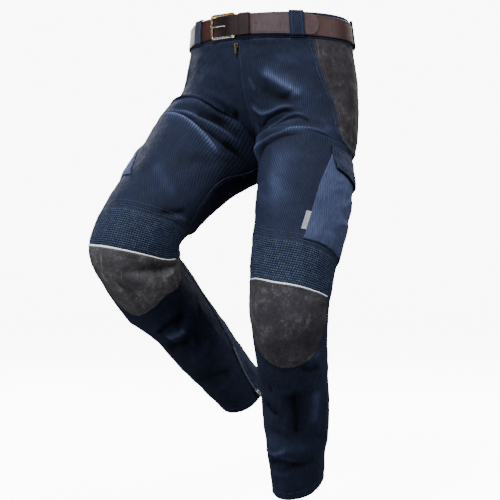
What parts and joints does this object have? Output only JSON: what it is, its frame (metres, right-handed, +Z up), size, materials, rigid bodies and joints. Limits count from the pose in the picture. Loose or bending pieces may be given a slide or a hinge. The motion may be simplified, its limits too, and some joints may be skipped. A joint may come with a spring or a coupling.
{
  "type": "motorcycle trousers with a belt",
  "caption": "Worn navy riding trousers in bent-knee pose with suede hips and knee patches, ribbed stretch knees, cargo pockets, ankle zips and a leather belt; hollow, open at waist and hems.",
  "frame": {"origin": "the middle of the waist opening, level with the top edge of the waistband in front, where the wearer holds it up", "axes": "+Z up, front faces -Y, the wearer's left leg is at +X"},
  "size_m": [0.4454, 0.4597, 0.9124],
  "materials": {
    "twill": "navy stretch twill with a soft sheen",
    "ribbed_stretch": "ribbed stretch cloth",
    "suede": "dark grey suede, matt",
    "reflective": "silver grey reflective piping",
    "label": "light grey woven tape, blank",
    "belt_leather": "dark brown leather, waxed",
    "brass": "polished",
    "steel": "nickel finish",
    "zip_chain": "black coil zip"
  },
  "bodies": {
    "trousers": {"front_thigh_left": "twill", "hip_panel_left": "suede", "back_left": "twill", "knee_stretch_left": "ribbed_stretch", "front_shin_left": "twill", "piping_left": "reflective", "knee_patch_left": "suede", "cargo_pocket_left": "twill", "cargo_flap_left": "twill", "front_thigh_right": "twill", "hip_panel_right": "suede", "back_right": "twill", "knee_stretch_right": "ribbed_stretch", "front_shin_right": "twill", "piping_right": "reflective", "knee_patch_right": "suede", "cargo_pocket_right": "twill", "cargo_flap_right": "twill", "side_label": "label", "waistband_left": "twill", "waistband_right": "twill", "belt_strap": "belt_leather", "belt_keeper": "belt_leather", "buckle_frame": "brass", "buckle_prong": "steel", "belt_loop_front_left": "twill", "belt_loop_side_left": "twill", "belt_loop_back": "twill", "belt_loop_side_right": "twill", "belt_loop_front_right": "twill", "fly_underlap": "twill", "fly_slider": "brass", "ankle_zip_left": "zip_chain", "ankle_left_slider": "steel", "ankle_zip_right": "zip_chain", "ankle_right_slider": "steel"},
    "fly_pull": {"fly_pull": "brass"},
    "ankle_left_pull": {"ankle_left_pull": "steel"},
    "ankle_right_pull": {"ankle_right_pull": "steel"}
  },
  "joints": [
    {"name": "fly_pull_swing", "type": "hinge", "parent": "trousers", "child": "fly_pull", "pos_m": [0, -0.11896, -0.05487], "axis": [-1, 0, 0], "range_deg": [-3.8, 150]},
    {"name": "ankle_left_pull_swing", "type": "hinge", "parent": "trousers", "child": "ankle_left_pull", "pos_m": [0.04057, -0.04921, -0.8663], "axis": [0.0822, 0.9023, 0.4231], "range_deg": [0, 150]},
    {"name": "ankle_right_pull_swing", "type": "hinge", "parent": "trousers", "child": "ankle_right_pull", "pos_m": [-0.06042, 0.05394, -0.72605], "axis": [-0.2662, -0.6567, -0.7056], "range_deg": [-13.8, 150]}
  ]
}
